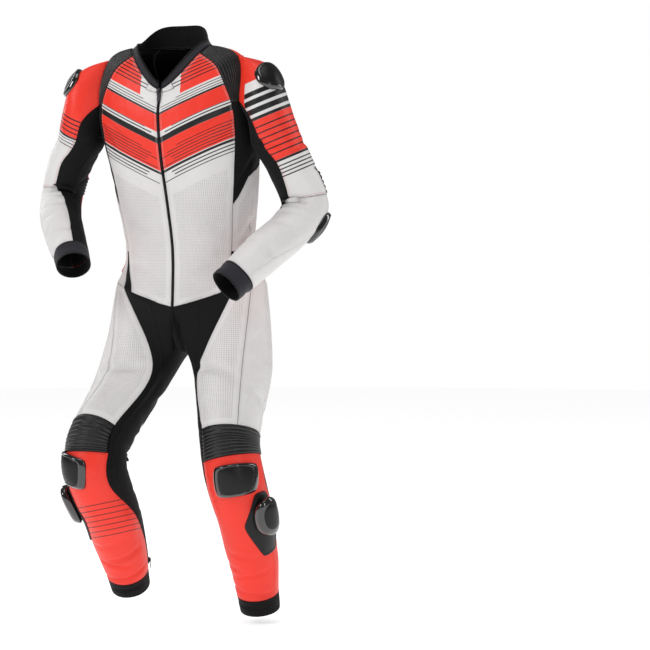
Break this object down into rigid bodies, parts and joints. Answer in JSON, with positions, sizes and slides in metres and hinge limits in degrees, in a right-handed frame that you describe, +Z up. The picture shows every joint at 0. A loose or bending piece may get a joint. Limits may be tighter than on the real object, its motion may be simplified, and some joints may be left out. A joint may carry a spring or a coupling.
{
  "type": "one-piece motorcycle race suit",
  "caption": "One-piece leather race suit held in its worn shape, with stretch panels, ribbed knees, elbows and back, hard shoulder, elbow and knee plates, knee pucks and a full front zip.",
  "frame": {"origin": "middle of the neck at the height of the shoulders, where the wearer carries the suit", "axes": "+Z up, -Y the way the wearer faces, +X the wearer's left"},
  "size_m": [0.7543, 0.399, 1.4403],
  "materials": {
    "leather_white": "smooth cowhide, pale off-white",
    "leather_red": "smooth cowhide, bright warm red",
    "leather_black": "matt black leather",
    "stretch_black": "black woven stretch",
    "mesh_black": "black open stretch mesh",
    "soft_charcoal": "charcoal neoprene with a dark edge",
    "plastic_gloss": "gloss black moulded plate",
    "plastic_matte": "satin black moulded pad",
    "zip_tape": "black tape with dark teeth",
    "zip_metal": "dark lacquered metal"
  },
  "bodies": {
    "suit": {"back": "leather_white", "back_mesh_left": "mesh_black", "back_mesh_right": "mesh_black", "calf_left": "stretch_black", "calf_right": "stretch_black", "calf_zip_left": "zip_tape", "calf_zip_right": "zip_tape", "collar": "soft_charcoal", "crotch": "stretch_black", "cuff_left": "soft_charcoal", "cuff_right": "soft_charcoal", "elbow_rib_left": "leather_black", "elbow_rib_right": "leather_black", "elbow_slider_left": "plastic_gloss", "elbow_slider_right": "plastic_gloss", "forearm_back_left": "leather_red", "forearm_back_right": "leather_red", "forearm_top_left": "leather_white", "forearm_top_right": "leather_white", "front_left": "leather_white", "front_right": "leather_white", "front_slider": "zip_metal", "front_zip": "zip_tape", "hem_left": "stretch_black", "hem_right": "stretch_black", "hump": "leather_red", "knee_cap_left": "plastic_gloss", "knee_cap_right": "plastic_gloss", "knee_puck_left": "plastic_matte", "knee_puck_right": "plastic_matte", "knee_rib_left": "leather_black", "knee_rib_right": "leather_black", "lumbar": "leather_red", "puck_base_left": "plastic_matte", "puck_base_right": "plastic_matte", "seat": "leather_black", "shin_left": "leather_red", "shin_right": "leather_red", "shoulder_cup_left": "plastic_gloss", "shoulder_cup_right": "plastic_gloss", "shoulder_rib_left": "leather_black", "shoulder_rib_right": "leather_black", "side_left": "leather_white", "side_right": "leather_white", "sleeve_back_left": "leather_red", "sleeve_back_right": "leather_red", "sleeve_inner_left": "stretch_black", "sleeve_inner_right": "stretch_black", "sleeve_top_left": "leather_red", "sleeve_top_right": "leather_red", "thigh_front_left": "leather_white", "thigh_front_right": "leather_white", "thigh_outer_left": "leather_white", "thigh_outer_right": "leather_white", "underarm_left": "stretch_black", "underarm_right": "stretch_black"},
    "front_pull": {"front_pull": "zip_metal"},
    "calf_zip_left_pull": {"calf_zip_left_pull": "zip_metal"},
    "calf_zip_right_pull": {"calf_zip_right_pull": "zip_metal"}
  },
  "joints": [
    {"name": "front_pull_hinge", "type": "hinge", "parent": "suit", "child": "front_pull", "pos_m": [0, -0.07904, -0.07719], "axis": [-1, 0, 0], "range_deg": [0, 150]},
    {"name": "calf_zip_left_pull_hinge", "type": "hinge", "parent": "suit", "child": "calf_zip_left_pull", "pos_m": [0.11994, 0.14642, -1.26735], "axis": [0.5346, 0.8111, 0.2372], "range_deg": [0, 150]},
    {"name": "calf_zip_right_pull_hinge", "type": "hinge", "parent": "suit", "child": "calf_zip_right_pull", "pos_m": [-0.11265, 0.09795, -1.2259], "axis": [0.5366, -0.6868, -0.4902], "range_deg": [0, 150]}
  ]
}
